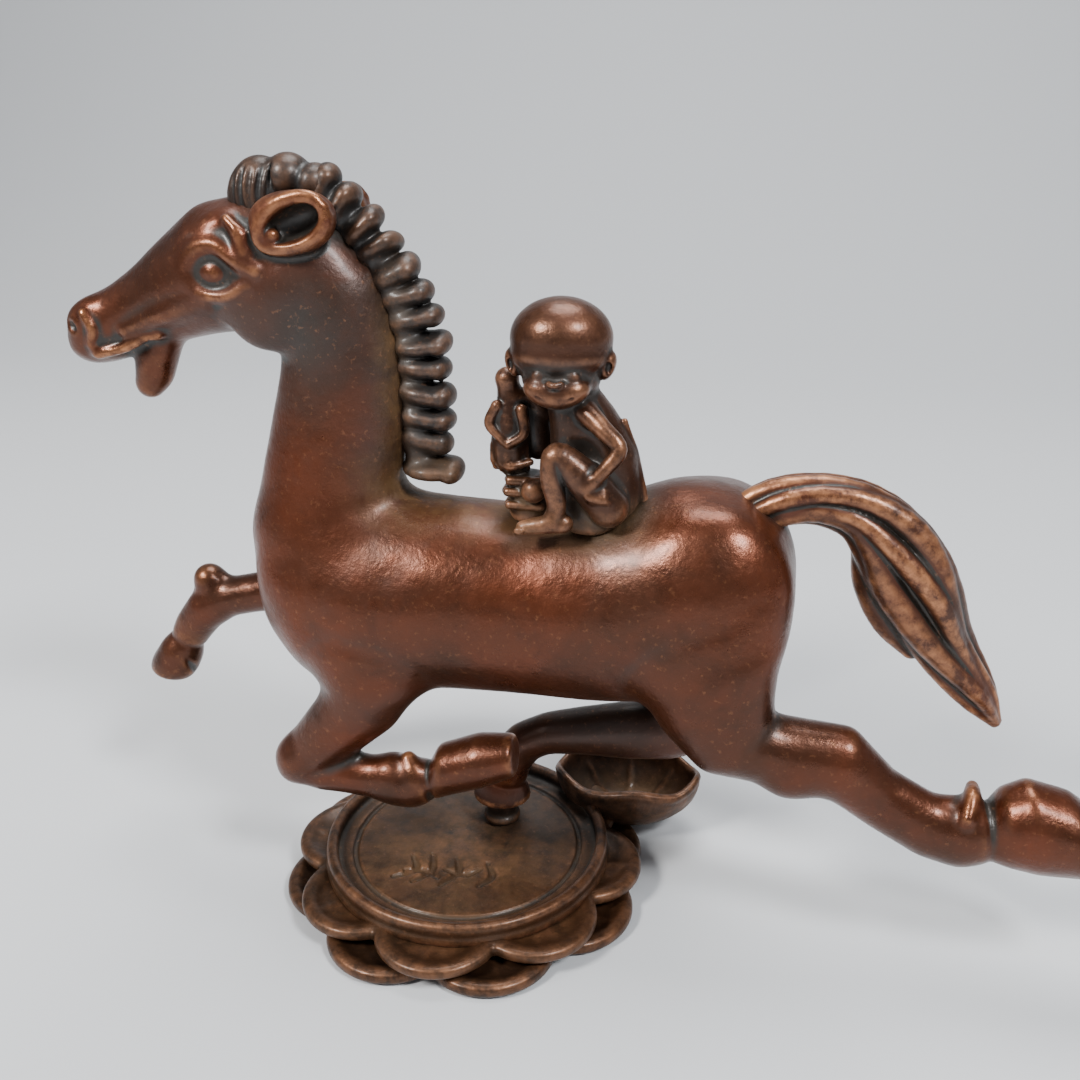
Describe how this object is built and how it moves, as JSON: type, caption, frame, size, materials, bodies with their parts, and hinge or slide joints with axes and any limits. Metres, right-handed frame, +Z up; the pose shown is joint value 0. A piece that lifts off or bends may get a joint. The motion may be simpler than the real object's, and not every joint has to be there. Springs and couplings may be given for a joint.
{
  "type": "bronze horse statue",
  "caption": "Small patinated bronze of a galloping horse carrying a squatting rider and a companion, standing by one hind hoof on a lotus base.",
  "frame": {"origin": "centre of the lotus base on its flat underside", "axes": "+Z up, +X from the head towards the tail, +Y to the horse's right"},
  "size_m": [0.1299, 0.0484, 0.094],
  "materials": {
    "horse_bronze": "red-brown patina under satin lacquer",
    "base_bronze": "ochre-brown patina, rubbed bright at the petal rims",
    "rider_bronze": "brown patina, rubbed bright on raised forms",
    "mane_bronze": "dark brown patina with ochre in the hollows"
  },
  "bodies": {
    "root": {"ball": "rider_bronze", "companion": "rider_bronze", "companion_plinth": "rider_bronze", "dish": "base_bronze", "foot_stud": "base_bronze", "forelock": "mane_bronze", "head": "horse_bronze", "left_ear": "horse_bronze", "left_fore_hoof": "horse_bronze", "left_fore_leg": "horse_bronze", "left_hind_hoof": "horse_bronze", "left_hind_leg": "horse_bronze", "lotus_leaf": "base_bronze", "lower_petals": "base_bronze", "mane": "mane_bronze", "neck": "horse_bronze", "rider_head": "rider_bronze", "rider_left_arm": "rider_bronze", "rider_left_leg": "rider_bronze", "rider_right_arm": "rider_bronze", "rider_right_leg": "rider_bronze", "rider_torso": "rider_bronze", "right_ear": "horse_bronze", "right_fore_hoof": "horse_bronze", "right_fore_leg": "horse_bronze", "right_hind_hoof": "horse_bronze", "right_hind_leg": "horse_bronze", "tail": "horse_bronze", "trunk": "horse_bronze", "upper_petals": "base_bronze"}
  },
  "joints": []
}
